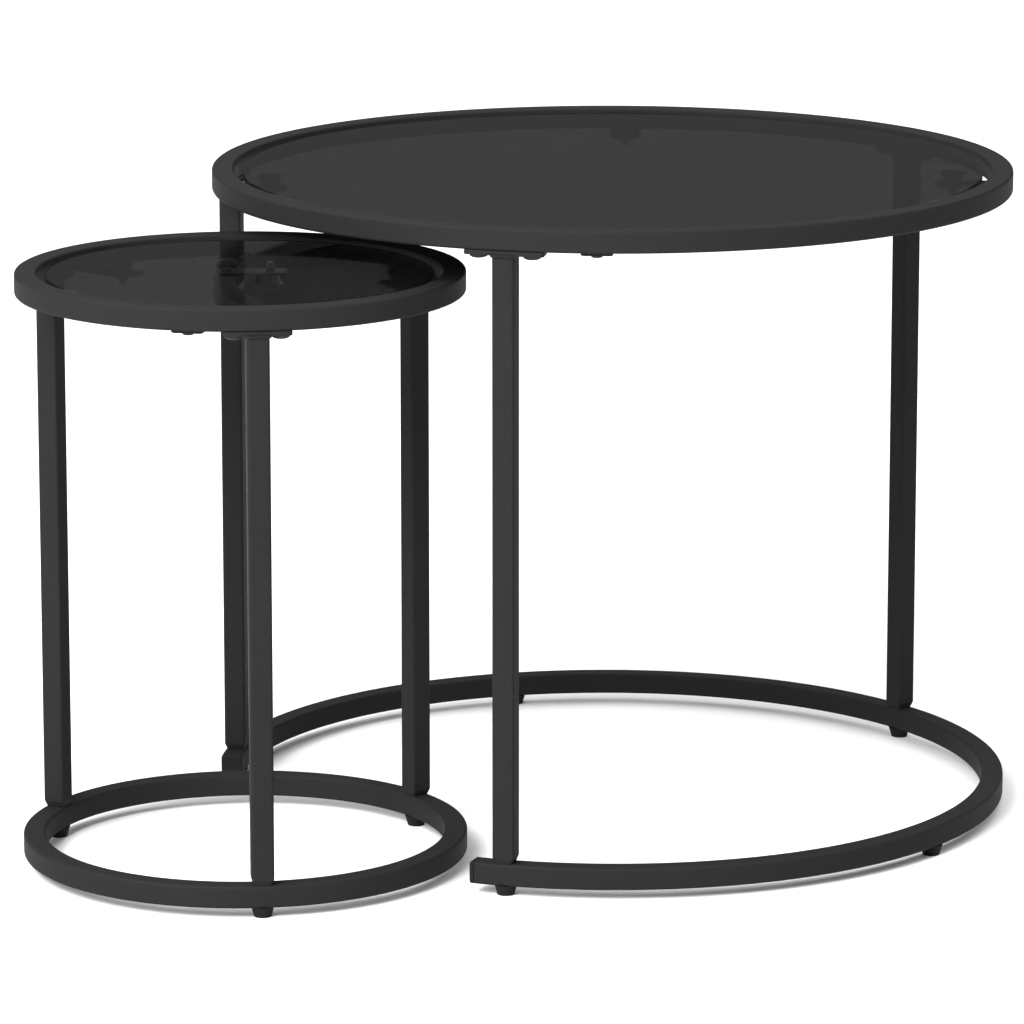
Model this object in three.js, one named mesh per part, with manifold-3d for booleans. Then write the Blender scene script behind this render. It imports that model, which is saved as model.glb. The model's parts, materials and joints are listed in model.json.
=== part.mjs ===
// Two round nesting tables of square steel tube with smoked glass tops.
// Millimetres, +Z up, floor at z = 0. The origin is on the floor under the middle of the pair's box.
// The large table's base ring is open towards -Y, and the small table stands half out of it.
// Every piece is modelled from its own seating face and is put there by its mesh's position.

import * as THREE from 'three';
import { mergeVertices } from 'three/addons/utils/BufferGeometryUtils.js';
import Module from 'manifold-3d';

const wasm = await Module();
wasm.setup();

// Square tube, used for the rings and the legs
const TUBE = 15;
const TUBE_WALL = 1.2;
const TUBE_CORNER = 1.5;

// Clearances
const FIT_GAP = 0.3;            // round a shank, a stem or a cap's face
const PLUG_GAP = 0.7;           // between a cap's straight plug and the rolled tube
const GLASS_GAP = 6;            // between the glass and the ring round it
const GLASS_DROP = 2.4;         // glass face below the ring's top face

const GLASS_THICKNESS = 5;
const GLASS_EDGE = 0.8;

const FOOT_HEIGHT = 7;
const FOOT_TOP_RADIUS = 7.8;
const FOOT_BOTTOM_RADIUS = 5.9;
const FOOT_EDGE = 0.9;
const STUD_RADIUS = 3;
const STUD_PAST = 1;            // stud standing past the last thread it holds

const FLANGE_THICKNESS = 3;
const NECK_HEIGHT = 4;
const NECK_WIDTH = 12;

const BOLT_RADIUS = 3;
const BOLT_HEAD_RADIUS = 6.5;
const BOLT_HEAD_HEIGHT = 2.8;
const NUT_WALL = 2;
const NUT_HEIGHT = 5;

const TAB_WIDTH = 21;
const TAB_THICKNESS = 2;
const TAB_REACH = 36;           // how far a tab stands in from the ring's inner wall
const TAB_SET_BACK = 4;         // from the ring's outer wall to the tab's outer end
const TAB_SCREW_INSET = 6;      // from the ring's inner wall to the screw
const TAB_SCREW_RADIUS = 2;
const TAB_SCREW_HEAD_RADIUS = 3.8;
const TAB_SCREW_HEAD_HEIGHT = 1.6;
const TAB_SCREW_RIM = 0.6;      // straight height of the pan head's edge
const TAB_SCREW_CROWN = 1.1;    // how far the pan head rounds in from its edge
const TAB_PAD_INSET = 11.5;     // from the tab's inner end to the pad

const PAD_RADIUS = 9;
const PAD_WAIST_RADIUS = 6;
const PAD_LIP = 1.2;
const STEM_RADIUS = 2.7;
const TAIL_RADIUS = 3.6;        // the stem's barbed end under the tab
const TAIL_LENGTH = 5.6;
const TAIL_BARB = 1.4;
const TAIL_TIP_RADIUS = 2.2;

const CAP_FACE = 1.8;
const CAP_CHAMFER = 1.2;
const CAP_PLUG = 10;

const LARGE_RADIUS = 275;
const LARGE_HEIGHT = 447;
const SMALL_RADIUS = 149.5;
const NEST_HEADROOM = 20.1;     // from the small table's top to the lowest pad tail of the large one

// The gap in the large base ring, and how the small table goes through it
const MOUTH_MIDDLE = 270;
const MOUTH_CLEARANCE = 6.16;   // on each side of the small table, between the two caps
const LEG_FROM_MOUTH = 19.6;    // along the ring, from its cut end to the leg's middle
const LEFT_TAB_FROM_LEG = 45.3;
const RIGHT_TAB_FROM_LEG = 59.8;
const SLIDE_LEAN = 3.35;        // degrees from the mouth's middle line to the small table's way out
const SLIDE_OFFSET = 3.4;       // its centre's distance from that line between the cut ends
const SLIDE_PAST_MOUTH = 94.2;  // how far its centre stands out beyond the cut ends

const radians = (degrees) => THREE.MathUtils.degToRad(degrees);
const degrees = (angle) => THREE.MathUtils.radToDeg(angle);

// The small table's widest point passes each cap's inner corner with the clearance between them.
function mouthHalfAngle() {
  const inner = LARGE_RADIUS - TUBE;
  const capReach = FIT_GAP + CAP_CHAMFER + CAP_FACE;
  const halfWidth = SMALL_RADIUS + MOUTH_CLEARANCE;
  return degrees(Math.atan2(capReach, inner) + Math.asin(halfWidth / Math.hypot(inner, capReach)));
}

const alongLargeRing = (length) => degrees(length / (LARGE_RADIUS - TUBE / 2));
const MOUTH_HALF = mouthHalfAngle();
const LEFT_LEG = MOUTH_MIDDLE - MOUTH_HALF - alongLargeRing(LEG_FROM_MOUTH);
const RIGHT_LEG = MOUTH_MIDDLE + MOUTH_HALF + alongLargeRing(LEG_FROM_MOUTH);

// Angles are in degrees about the table's own centre, from +X towards +Y.
const LARGE = {
  name: 'large',
  radius: LARGE_RADIUS,
  height: LARGE_HEIGHT,
  segments: 64,
  legs: { back: 94.6, left: LEFT_LEG, right: RIGHT_LEG },
  extraFeet: { side_right: 21, side_left: 162 },
  tabs: [
    60.5,
    144.4,
    LEFT_LEG + alongLargeRing(LEFT_TAB_FROM_LEG),
    RIGHT_LEG + alongLargeRing(RIGHT_TAB_FROM_LEG),
  ],
  boltFromLeg: 4,               // between the leg's wall and the bolt's head
  flangePastBolt: 8,            // from the bolt's middle to the flange's end
  mouth: { middle: MOUTH_MIDDLE, halfAngle: MOUTH_HALF },
};

const SMALL = {
  name: 'small',
  radius: SMALL_RADIUS,
  height: LARGE_HEIGHT - TUBE - TAB_THICKNESS - FIT_GAP - TAIL_LENGTH - NEST_HEADROOM,
  segments: 40,
  legs: { back: 94.4, left: 214.4, right: 334.4 },
  extraFeet: {},
  tabs: [76.25, 196.25, 316.25],
  boltFromLeg: 1,
  flangePastBolt: 5.5,
  mouth: null,
};

// The small table's centre from the large one's, as it stands half pulled out
const PULLED_OUT = new THREE.Vector2(
  SLIDE_OFFSET + SLIDE_PAST_MOUTH * Math.sin(radians(SLIDE_LEAN)),
  -(LARGE_RADIUS - TUBE) * Math.cos(radians(MOUTH_HALF)) - SLIDE_PAST_MOUTH * Math.cos(radians(SLIDE_LEAN)),
);

const ROUND_SEGMENTS = 12;
const FOOT_SEGMENTS = 16;
const HEXAGON = 6;

const FINISH = {
  coat: new THREE.MeshStandardMaterial({ color: 0x2b2b2c, roughness: 0.55, metalness: 0.2 }),
  glass: new THREE.MeshStandardMaterial({ color: 0x1c1d1f, roughness: 0.05, metalness: 0 }),
  plastic: new THREE.MeshStandardMaterial({ color: 0x202021, roughness: 0.6, metalness: 0 }),
  bolt: new THREE.MeshStandardMaterial({ color: 0x242425, roughness: 0.4, metalness: 0.7 }),
  rubber: new THREE.MeshStandardMaterial({ color: 0x3a3b3c, roughness: 0.35, metalness: 0 }),
};

// ---- Small helpers

function solidOf(geometry) {
  const bare = geometry.clone();
  bare.deleteAttribute('normal');
  bare.deleteAttribute('uv');
  const closed = mergeVertices(bare);
  const vertProperties = new Float32Array(closed.attributes.position.array);
  const triVerts = new Uint32Array(closed.index.array);
  return new wasm.Manifold(new wasm.Mesh({ numProp: 3, vertProperties, triVerts }));
}

function geometryOf(solid) {
  const mesh = solid.getMesh();
  const geometry = new THREE.BufferGeometry();
  geometry.setAttribute('position', new THREE.BufferAttribute(mesh.vertProperties, 3));
  geometry.setIndex(new THREE.BufferAttribute(mesh.triVerts, 1));
  return geometry;
}

const joined = (solids) => solids.reduce((sum, solid) => sum.add(solid));

const cutAway = (solid, cutters) => cutters.reduce((rest, cutter) => rest.subtract(cutter), solid);

// Outline of a rectangle with its corners taken off, anticlockwise from the lower right.
function cornered(width, height, corner, centreX = 0, centreY = 0) {
  const signs = [[1, -1], [1, 1], [-1, 1], [-1, -1]];
  const points = [];
  signs.forEach(([sx, sy], index) => {
    const x = centreX + sx * (width / 2 - corner);
    const y = centreY + sy * (height / 2 - corner);
    const first = radians(90 * (index - 1));
    for (const angle of corner > 0 ? [first, first + radians(90)] : [0]) {
      points.push(new THREE.Vector2(x + corner * Math.cos(angle), y + corner * Math.sin(angle)));
    }
  });
  return points;
}

// Turns an outline of (radius, height) points about Z.
function turned(points, segments) {
  return new THREE.LatheGeometry(points, segments).rotateX(Math.PI / 2);
}

function turnedRing(outline, segments) {
  return turned([...outline, outline[0].clone()], segments);
}

function rod(radius, bottom, top, segments = ROUND_SEGMENTS) {
  const geometry = new THREE.CylinderGeometry(radius, radius, top - bottom, segments);
  return geometry.rotateX(Math.PI / 2).translate(0, 0, (top + bottom) / 2);
}

function block(width, length, bottom, top) {
  return new THREE.BoxGeometry(width, length, top - bottom).translate(0, 0, (top + bottom) / 2);
}

function prism(outline, bottom, top) {
  const shape = new THREE.Shape(outline);
  const geometry = new THREE.ExtrudeGeometry(shape, { depth: top - bottom, bevelEnabled: false });
  return geometry.translate(0, 0, bottom);
}

// A prism whose lower end is smaller than its upper end.
function taperedPrism(outline, bottom, top, scaleAtBottom) {
  const geometry = prism(outline, bottom, top);
  const place = geometry.attributes.position;
  const middle = (bottom + top) / 2;
  for (let i = 0; i < place.count; i += 1) {
    if (place.getZ(i) < middle) {
      place.setXY(i, place.getX(i) * scaleAtBottom, place.getY(i) * scaleAtBottom);
    }
  }
  return geometry;
}

function addMesh(parent, name, geometry, finish, x = 0, y = 0, z = 0) {
  const mesh = new THREE.Mesh(geometry, finish.clone());
  mesh.name = name;
  mesh.position.set(x, y, z);
  parent.add(mesh);
  return mesh;
}

// A group turned so that its +X is the radius at the angle and its +Y runs along the ring.
function spoke(parent, angle) {
  const group = new THREE.Group();
  group.rotation.z = radians(angle);
  parent.add(group);
  return group;
}

// ---- Places shared by the pieces of one table

function placesOf(table) {
  const topRingBottom = table.height - TUBE;
  const glassBottom = table.height - GLASS_DROP - GLASS_THICKNESS;
  return {
    inner: table.radius - TUBE,
    middle: table.radius - TUBE / 2,
    topRingBottom,
    baseRingTop: FOOT_HEIGHT + TUBE,
    glassBottom,
    padHeight: glassBottom - topRingBottom,
    tabInner: table.radius - TUBE - TAB_REACH,
    tabOuter: table.radius - TAB_SET_BACK,
    tabScrew: table.radius - TUBE + TAB_SCREW_INSET,
    padCentre: table.radius - TUBE - TAB_REACH + TAB_PAD_INSET,
    boltAlong: TUBE / 2 + table.boltFromLeg + BOLT_HEAD_RADIUS,
  };
}

// ---- Pieces, each from its own seating face at z = 0

// Rolled tube standing on z = 0. Each hole has its angle, its distance along the ring and its radius
// from the centre, and goes through the lower wall into a welded nut, or through both walls.
function ringSolid(table, holes) {
  const { middle } = placesOf(table);
  const inside = TUBE - 2 * TUBE_WALL;
  const outer = turnedRing(cornered(TUBE, TUBE, TUBE_CORNER, middle, TUBE / 2), table.segments);
  const hollow = turnedRing(cornered(inside, inside, 0, middle, TUBE / 2), table.segments);
  const at = (geometry, hole) => solidOf(geometry)
    .translate([hole.fromCentre, hole.along, 0])
    .rotate([0, 0, hole.angle]);
  const nuts = holes.filter((hole) => !hole.through)
    .map((hole) => {
      const nut = rod(hole.radius + NUT_WALL, TUBE_WALL / 2, TUBE_WALL + NUT_HEIGHT, HEXAGON);
      return at(nut, hole);
    });
  const bores = holes.map((hole) => {
    const top = hole.through ? TUBE + TUBE_WALL : 2 * TUBE_WALL + NUT_HEIGHT;
    return at(rod(hole.radius + FIT_GAP, -TUBE_WALL, top), hole);
  });
  const shell = solidOf(outer).subtract(solidOf(hollow));
  return cutAway(joined([shell, ...nuts]), bores);
}

function topRing(table) {
  const { middle, tabScrew, boltAlong } = placesOf(table);
  const boltHoles = Object.values(table.legs).flatMap((angle) => [-1, 1].map((side) => (
    { angle, along: side * boltAlong, fromCentre: middle, radius: BOLT_RADIUS }
  )));
  const screwHoles = table.tabs.map((angle) => (
    { angle, along: 0, fromCentre: tabScrew, radius: TAB_SCREW_RADIUS }
  ));
  return geometryOf(ringSolid(table, [...boltHoles, ...screwHoles]));
}

function baseRing(table) {
  const { middle } = placesOf(table);
  const holeAt = (angle, through) => (
    { angle, along: 0, fromCentre: middle, radius: STUD_RADIUS, through }
  );
  const holes = [
    ...Object.values(table.legs).map((angle) => holeAt(angle, true)),
    ...Object.values(table.extraFeet).map((angle) => holeAt(angle, false)),
  ];
  const ring = ringSolid(table, holes);
  if (!table.mouth) {
    return geometryOf(ring);
  }
  const reach = 2 * table.radius;
  const corner = (side) => {
    const angle = radians(table.mouth.middle + side * table.mouth.halfAngle);
    return new THREE.Vector2(reach * Math.cos(angle), reach * Math.sin(angle));
  };
  const wedge = prism([new THREE.Vector2(0, 0), corner(-1), corner(1)], -TUBE, 2 * TUBE);
  return geometryOf(ring.subtract(solidOf(wedge)));
}

// Plate along the underside of the ring, cut to the ring's width, with its top at z = 0.
function flange(table) {
  const { middle, boltAlong } = placesOf(table);
  const length = 2 * (boltAlong + table.flangePastBolt);
  const plate = solidOf(block(2 * TUBE, length, -FLANGE_THICKNESS, 0));
  const track = cornered(TUBE, 2 * FLANGE_THICKNESS, 0, middle, -FLANGE_THICKNESS);
  return plate.intersect(solidOf(turnedRing(track, table.segments)).translate([-middle, 0, 0]));
}

// Hangs down from z = 0: bolt flange, square tube and a narrower neck with the stud's thread.
function leg(table) {
  const { topRingBottom, baseRingTop, boltAlong } = placesOf(table);
  const length = topRingBottom - baseRingTop;
  const neckTop = NECK_HEIGHT - length;
  const section = cornered(TUBE, TUBE, TUBE_CORNER);
  const inside = TUBE - 2 * TUBE_WALL;
  const body = joined([
    solidOf(prism(section, neckTop, 0)),
    solidOf(taperedPrism(section, -length, neckTop, NECK_WIDTH / TUBE)),
    flange(table),
  ]);
  const boltHoles = [-1, 1].map((side) => (
    solidOf(rod(BOLT_RADIUS + FIT_GAP, -2 * FLANGE_THICKNESS, FLANGE_THICKNESS))
      .translate([0, side * boltAlong, 0])
  ));
  const studHole = solidOf(rod(STUD_RADIUS + FIT_GAP, -length - TUBE_WALL, neckTop + TUBE_WALL));
  const hollow = solidOf(block(inside, inside, neckTop, -FLANGE_THICKNESS));
  return geometryOf(cutAway(body, [hollow, studHole, ...boltHoles]));
}

// Rests against the flange from below, with its shank up into the ring's nut.
function bolt() {
  const shank = FLANGE_THICKNESS + TUBE_WALL + NUT_HEIGHT;
  const steps = 3;
  const points = [];
  for (let i = 0; i <= steps; i += 1) {
    const angle = radians(90 * i / steps);
    points.push(new THREE.Vector2(
      BOLT_HEAD_RADIUS * Math.sin(angle),
      -BOLT_HEAD_HEIGHT * Math.cos(angle),
    ));
  }
  points.push(new THREE.Vector2(BOLT_RADIUS, 0));
  points.push(new THREE.Vector2(BOLT_RADIUS, shank));
  points.push(new THREE.Vector2(0, shank));
  return turned(points, ROUND_SEGMENTS);
}

// Hangs down from z = 0, with its stud standing up into the ring.
function foot(studLength) {
  const points = [
    [0, -FOOT_HEIGHT],
    [FOOT_BOTTOM_RADIUS - FOOT_EDGE, -FOOT_HEIGHT],
    [FOOT_BOTTOM_RADIUS, FOOT_EDGE - FOOT_HEIGHT],
    [FOOT_TOP_RADIUS, 0],
    [STUD_RADIUS, 0],
    [STUD_RADIUS, studLength],
    [0, studLength],
  ];
  return turned(points.map(([r, z]) => new THREE.Vector2(r, z)), FOOT_SEGMENTS);
}

function glassTop(table) {
  const { inner } = placesOf(table);
  const radius = inner - GLASS_GAP;
  const points = [
    [0, 0],
    [radius - GLASS_EDGE, 0],
    [radius, GLASS_EDGE],
    [radius, GLASS_THICKNESS - GLASS_EDGE],
    [radius - GLASS_EDGE, GLASS_THICKNESS],
    [0, GLASS_THICKNESS],
  ];
  return turned(points.map(([r, z]) => new THREE.Vector2(r, z)), table.segments);
}

// Flat strip under the ring, top face at z = 0, with a screw hole and a pad hole.
function tab(table) {
  const { tabInner, tabOuter, tabScrew, padCentre } = placesOf(table);
  const length = tabOuter - tabInner;
  const strip = prism(cornered(length, TAB_WIDTH, TUBE_CORNER), -TAB_THICKNESS, 0);
  const body = solidOf(strip).translate([(tabOuter + tabInner) / 2, 0, 0]);
  const hole = (radius, x) => (
    solidOf(rod(radius + FIT_GAP, -2 * TAB_THICKNESS, TAB_THICKNESS)).translate([x, 0, 0])
  );
  return geometryOf(cutAway(body, [hole(TAB_SCREW_RADIUS, tabScrew), hole(STEM_RADIUS, padCentre)]));
}

// Pan head against the tab from below, at z = 0.
function tabScrew() {
  const shank = TAB_THICKNESS + TUBE_WALL + NUT_HEIGHT;
  const points = [
    [0, -TAB_SCREW_HEAD_HEIGHT],
    [TAB_SCREW_HEAD_RADIUS - TAB_SCREW_CROWN, -TAB_SCREW_HEAD_HEIGHT],
    [TAB_SCREW_HEAD_RADIUS, -TAB_SCREW_RIM],
    [TAB_SCREW_HEAD_RADIUS, 0],
    [TAB_SCREW_RADIUS, 0],
    [TAB_SCREW_RADIUS, shank],
    [0, shank],
  ];
  return turned(points.map(([r, z]) => new THREE.Vector2(r, z)), ROUND_SEGMENTS);
}

// Top face under the glass at z = 0, foot on the tab, stem through the tab and barbed tail below it.
function glassPad(table) {
  const { padHeight } = placesOf(table);
  const tailTop = -padHeight - TAB_THICKNESS - FIT_GAP;
  const points = [
    [0, tailTop - TAIL_LENGTH],
    [TAIL_TIP_RADIUS, tailTop - TAIL_LENGTH],
    [TAIL_RADIUS, tailTop - TAIL_BARB],
    [TAIL_RADIUS, tailTop],
    [STEM_RADIUS, tailTop],
    [STEM_RADIUS, -padHeight],
    [PAD_WAIST_RADIUS, -padHeight],
    [PAD_RADIUS, -PAD_LIP],
    [PAD_RADIUS, 0],
    [0, 0],
  ];
  return turned(points.map(([r, z]) => new THREE.Vector2(r, z)), ROUND_SEGMENTS);
}

// Closes a cut end of the tube. The cut is at y = 0, the plug goes to -Y and the face shows at +Y.
function endCap() {
  const inside = TUBE - 2 * TUBE_WALL;
  const plugWidth = inside - 2 * PLUG_GAP;
  const section = cornered(TUBE, TUBE, TUBE_CORNER);
  const narrow = (TUBE - 2 * CAP_CHAMFER) / TUBE;
  const faceBottom = FIT_GAP + CAP_CHAMFER + CAP_FACE;
  const solid = joined([
    solidOf(taperedPrism(section, -faceBottom, -FIT_GAP - CAP_FACE, narrow)),
    solidOf(prism(section, -FIT_GAP - CAP_FACE, -FIT_GAP)),
    solidOf(block(plugWidth, plugWidth, -FIT_GAP, CAP_PLUG)),
  ]);
  return geometryOf(solid).rotateX(Math.PI / 2).translate(0, 0, TUBE / 2);
}

// ---- One table

function buildTable(table) {
  const group = new THREE.Group();
  const places = placesOf(table);
  const label = (part) => `${table.name}_${part}`;

  addMesh(group, label('glass_top'), glassTop(table), FINISH.glass, 0, 0, places.glassBottom);
  addMesh(group, label('top_ring'), topRing(table), FINISH.coat, 0, 0, places.topRingBottom);
  addMesh(group, label('base_ring'), baseRing(table), FINISH.coat, 0, 0, FOOT_HEIGHT);

  for (const [side, angle] of Object.entries(table.legs)) {
    const at = spoke(group, angle);
    addMesh(at, label(`leg_${side}`), leg(table), FINISH.coat, places.middle, 0, places.topRingBottom);
    [-1, 1].forEach((along, index) => {
      const name = label(`leg_bolt_${side}_${index + 1}`);
      const z = places.topRingBottom - FLANGE_THICKNESS;
      addMesh(at, name, bolt(), FINISH.bolt, places.middle, along * places.boltAlong, z);
    });
    const studLength = TUBE + NECK_HEIGHT + STUD_PAST;
    addMesh(at, label(`foot_${side}`), foot(studLength), FINISH.plastic, places.middle, 0, FOOT_HEIGHT);
  }

  for (const [side, angle] of Object.entries(table.extraFeet)) {
    const studLength = TUBE_WALL + NUT_HEIGHT + STUD_PAST;
    const at = spoke(group, angle);
    addMesh(at, label(`foot_${side}`), foot(studLength), FINISH.plastic, places.middle, 0, FOOT_HEIGHT);
  }

  table.tabs.forEach((angle, index) => {
    const at = spoke(group, angle);
    const number = index + 1;
    const underTab = places.topRingBottom - TAB_THICKNESS;
    addMesh(at, label(`tab_${number}`), tab(table), FINISH.coat, 0, 0, places.topRingBottom);
    addMesh(at, label(`tab_screw_${number}`), tabScrew(), FINISH.bolt, places.tabScrew, 0, underTab);
    const { padCentre, glassBottom } = places;
    addMesh(at, label(`glass_pad_${number}`), glassPad(table), FINISH.rubber, padCentre, 0, glassBottom);
  });

  if (table.mouth) {
    for (const [side, sign] of [['left', -1], ['right', 1]]) {
      const at = spoke(group, table.mouth.middle + sign * table.mouth.halfAngle);
      const name = label(`end_cap_${side}`);
      const cap = addMesh(at, name, endCap(), FINISH.plastic, places.middle, 0, FOOT_HEIGHT);
      cap.rotation.z = sign > 0 ? Math.PI : 0;
    }
  }
  return group;
}

// ---- The pair, centred on its own box

const largeTable = buildTable(LARGE);
const smallTable = buildTable(SMALL);
const boxBack = LARGE.radius;
const boxFront = PULLED_OUT.y - SMALL.radius;
largeTable.position.set(0, -(boxBack + boxFront) / 2, 0);
smallTable.position.set(PULLED_OUT.x, largeTable.position.y + PULLED_OUT.y, 0);

const nestingTables = new THREE.Group();
nestingTables.name = 'nesting_tables';
nestingTables.add(largeTable, smallTable);

export default nestingTables;
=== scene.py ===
"""Two round nesting tables: powder-coated square steel tube with inset smoked glass tops.

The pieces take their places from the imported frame. Lengths are metres unless a name says otherwise.
"""

import json
import math

import bmesh
import bpy
from mathutils import Matrix, Vector

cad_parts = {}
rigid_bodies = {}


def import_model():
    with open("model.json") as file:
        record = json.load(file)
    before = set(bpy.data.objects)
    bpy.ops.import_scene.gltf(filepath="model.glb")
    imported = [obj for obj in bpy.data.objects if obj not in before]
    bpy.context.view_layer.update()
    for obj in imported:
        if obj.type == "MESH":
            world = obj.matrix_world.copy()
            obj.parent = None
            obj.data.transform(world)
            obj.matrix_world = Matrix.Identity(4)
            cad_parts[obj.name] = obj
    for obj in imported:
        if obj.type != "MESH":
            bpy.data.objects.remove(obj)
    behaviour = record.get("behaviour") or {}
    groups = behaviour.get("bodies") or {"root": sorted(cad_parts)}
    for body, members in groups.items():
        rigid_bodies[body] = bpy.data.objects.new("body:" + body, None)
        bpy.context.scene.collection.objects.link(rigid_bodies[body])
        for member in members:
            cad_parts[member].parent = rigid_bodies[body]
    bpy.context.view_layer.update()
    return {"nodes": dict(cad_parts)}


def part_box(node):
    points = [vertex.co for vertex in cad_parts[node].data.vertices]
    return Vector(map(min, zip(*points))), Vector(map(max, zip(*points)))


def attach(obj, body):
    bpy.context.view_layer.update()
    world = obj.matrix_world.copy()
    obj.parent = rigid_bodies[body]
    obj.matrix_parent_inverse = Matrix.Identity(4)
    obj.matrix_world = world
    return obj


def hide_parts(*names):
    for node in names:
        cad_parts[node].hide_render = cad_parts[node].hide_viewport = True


bl_info = {
    "name": "Nesting tables",
    "version": (1, 0, 0),
    "blender": (4, 5, 0),
    "location": "View3D > Sidebar > Nesting tables",
    "description": "Builds a pair of round nesting tables with smoked glass tops",
    "category": "Add Mesh",
}

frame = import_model()

MM = 0.001
TURN = 2 * math.pi
TABLES = ("large", "small")

MERGE = 1e-6  # points nearer than this become one
SHARP = math.radians(35)  # faces that meet at more than this keep a sharp edge
LEAST_MOUTH = math.radians(30)  # a narrower gap in a base ring is only a step along it
CORNER_STEPS = 5  # edges round one corner of a flange or tab
EASE = 0.35 * MM  # how far the edges of plates are taken off

FLANGE_CORNER = 2.5 * MM
FLANGE_STEP = 2.5 * MM  # longest edge along a flange, so that it can follow its ring
FLANGE_SHARE = 0.962  # half a flange's length, of the distance to its farthest corner
NECK_EASE = 0.5 * MM  # rounding where a leg narrows to its neck

BEAD_STEP = 0.4 * MM
BEAD_RIPPLE = 0.07  # how much the weld swells and thins, of its width
BEAD_RIPPLES = 38  # swells round one leg
BEAD_SECTION = (  # how far out and how far down, of the weld's width
    (-0.4, -0.3), (1.0, -0.3), (1.0, 0.0), (0.82, 0.34),
    (0.62, 0.62), (0.34, 0.82), (0.0, 1.0), (-0.4, 1.0))

BOLT_SIDES = 48
BOLT_CHAMFER = 0.5 * MM  # at the end of a bolt's or a stud's shank
DOME_START = 0.48  # where the dome begins outside its socket, of the head's radius
DOME_POWER = 2.6  # fuller than a circle's 2
DOME_STEPS = 8
SOCKET_LEAD = 0.15 * MM  # countersink of the hexagon socket

SCREW_SIDES = 64
SCREW_CHAMFER = 0.4 * MM
SCREW_CROWN = (  # across and down, of the head's radius and height
    (0.64, 0.995), (0.78, 0.96), (0.9, 0.84), (0.97, 0.64), (1.0, 0.4))
LEAST_SLOPE = 0.001  # keeps the cross recess from dividing by nothing

GLASS_SIDES = 288
GLASS_EDGE = 0.9 * MM  # radius of the polished edge
GLASS_EDGE_STEPS = 4
GLASS_DENSITY = 0.72  # share of the light held back, looking straight down
GLASS_LOW_DENSITY = 0.225  # how much more is held back at a low angle
UNDERSIDE = -0.5  # faces that point further down than this are the underside

PAD_SIDES = 40
PAD_TAIL = (  # across and down, of the pad's radius and the tail's length
    (0.2, 1.0), (0.27, 0.9), (0.37, 0.34), (0.4, 0.24), (0.4, 0.06))
PAD_BODY = (  # across and down, of the pad's radius and height
    (0.3, 1.0), (0.64, 1.0), (0.67, 0.95), (0.72, 0.5), (0.86, 0.22),
    (0.97, 0.13), (1.0, 0.08), (0.985, 0.02), (0.95, 0.0))

FOOT_SIDES = 48
FOOT_BODY = (  # across and down, of the foot's radius and height
    (0.55, 1.0), (0.68, 1.0), (0.725, 0.985), (0.75, 0.95), (0.762, 0.88),
    (0.96, 0.12), (0.985, 0.07), (1.0, 0.05), (1.0, 0.0))

CAP_SLACK = 0.7 * MM  # between the plug and the tube's wall
CAP_LEAD = 1.0 * MM  # taper at the plug's inner end
CAP_CORNER = 1.0 * MM  # corners of the plug
CAP_PLUG = 10 * MM  # how far the plug goes in
CAP_GAP = 0.3 * MM  # between the cut end and the cap's face
CAP_FACE = 1.8 * MM
CAP_ROUND = 1.2 * MM
CAP_ROUND_STEPS = 5

FLOOR_SIDES = 96
LAMP_SIZE = 2.2  # side of the square lamp
LAMP_POWER = 300  # watts
LAMP_PLACE = (1.3, -2.96, 2.6)
LAMP_AIM = (0, 0, 0.25)
SKY_STOPS = ((0.0, 0.045), (0.42, 0.045), (0.62, 0.9), (1.0, 1.0))  # height and brightness
SKY_STRENGTH = 1.9


# ---- Places, read from the frame


def middle_of(node):
    """The middle of a node's box."""
    low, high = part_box(node)
    return (low + high) / 2


class Places:
    """Where the pieces of one table are."""

    def __init__(self, name):
        self.name = name
        self.body = f"{name}_table"
        ring_low, ring_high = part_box(f"{name}_top_ring")
        base_low, base_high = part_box(f"{name}_base_ring")
        glass_low, glass_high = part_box(f"{name}_glass_top")
        self.centre = (ring_low + ring_high) / 2
        self.centre.z = 0
        self.radius = (ring_high.x - ring_low.x) / 2
        self.tube = ring_high.z - ring_low.z
        self.middle = self.radius - self.tube / 2
        self.ring_bottom, self.ring_top = ring_low.z, ring_high.z
        self.base_bottom, self.base_top = base_low.z, base_high.z
        self.glass_bottom, self.glass_top = glass_low.z, glass_high.z
        self.glass_radius = (glass_high.x - glass_low.x) / 2

    def nodes(self, part):
        """This table's nodes whose names start with the part's name, in order."""
        start = f"{self.name}_{part}"
        return sorted(node for node in frame["nodes"] if node.startswith(start))

    def angle_to(self, node):
        """The angle from +X to the middle of a node, about the table's centre."""
        offset = middle_of(node) - self.centre
        return math.atan2(offset.y, offset.x)

    def legs(self):
        """Each leg's node and angle. A leg stands over its foot, whose box is even about it."""
        return [(node, self.angle_to(node.replace("_leg_", "_foot_")))
                for node in self.nodes("leg_") if "bolt" not in node]

    def out_at(self, angle, reach):
        """The turn and move that put +X outwards at an angle and the origin at a reach."""
        return (Matrix.Translation(self.centre) @ Matrix.Rotation(angle, 4, "Z")
                @ Matrix.Translation((reach, 0, 0)))

    def mouth(self):
        """The middle angle and the half angle of the gap in the base ring, or None."""
        mesh = frame["nodes"][f"{self.name}_base_ring"].data
        around = (point.co - self.centre for point in mesh.vertices)
        angles = sorted(math.atan2(offset.y, offset.x) % TURN for offset in around)
        nexts = angles[1:] + [angles[0] + TURN]
        gaps = [(after - before, before) for before, after in zip(angles, nexts)]
        width, start = max(gaps)
        if width < LEAST_MOUTH:
            return None
        return start + width / 2, width / 2


# ---- Settings that a user would change


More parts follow.
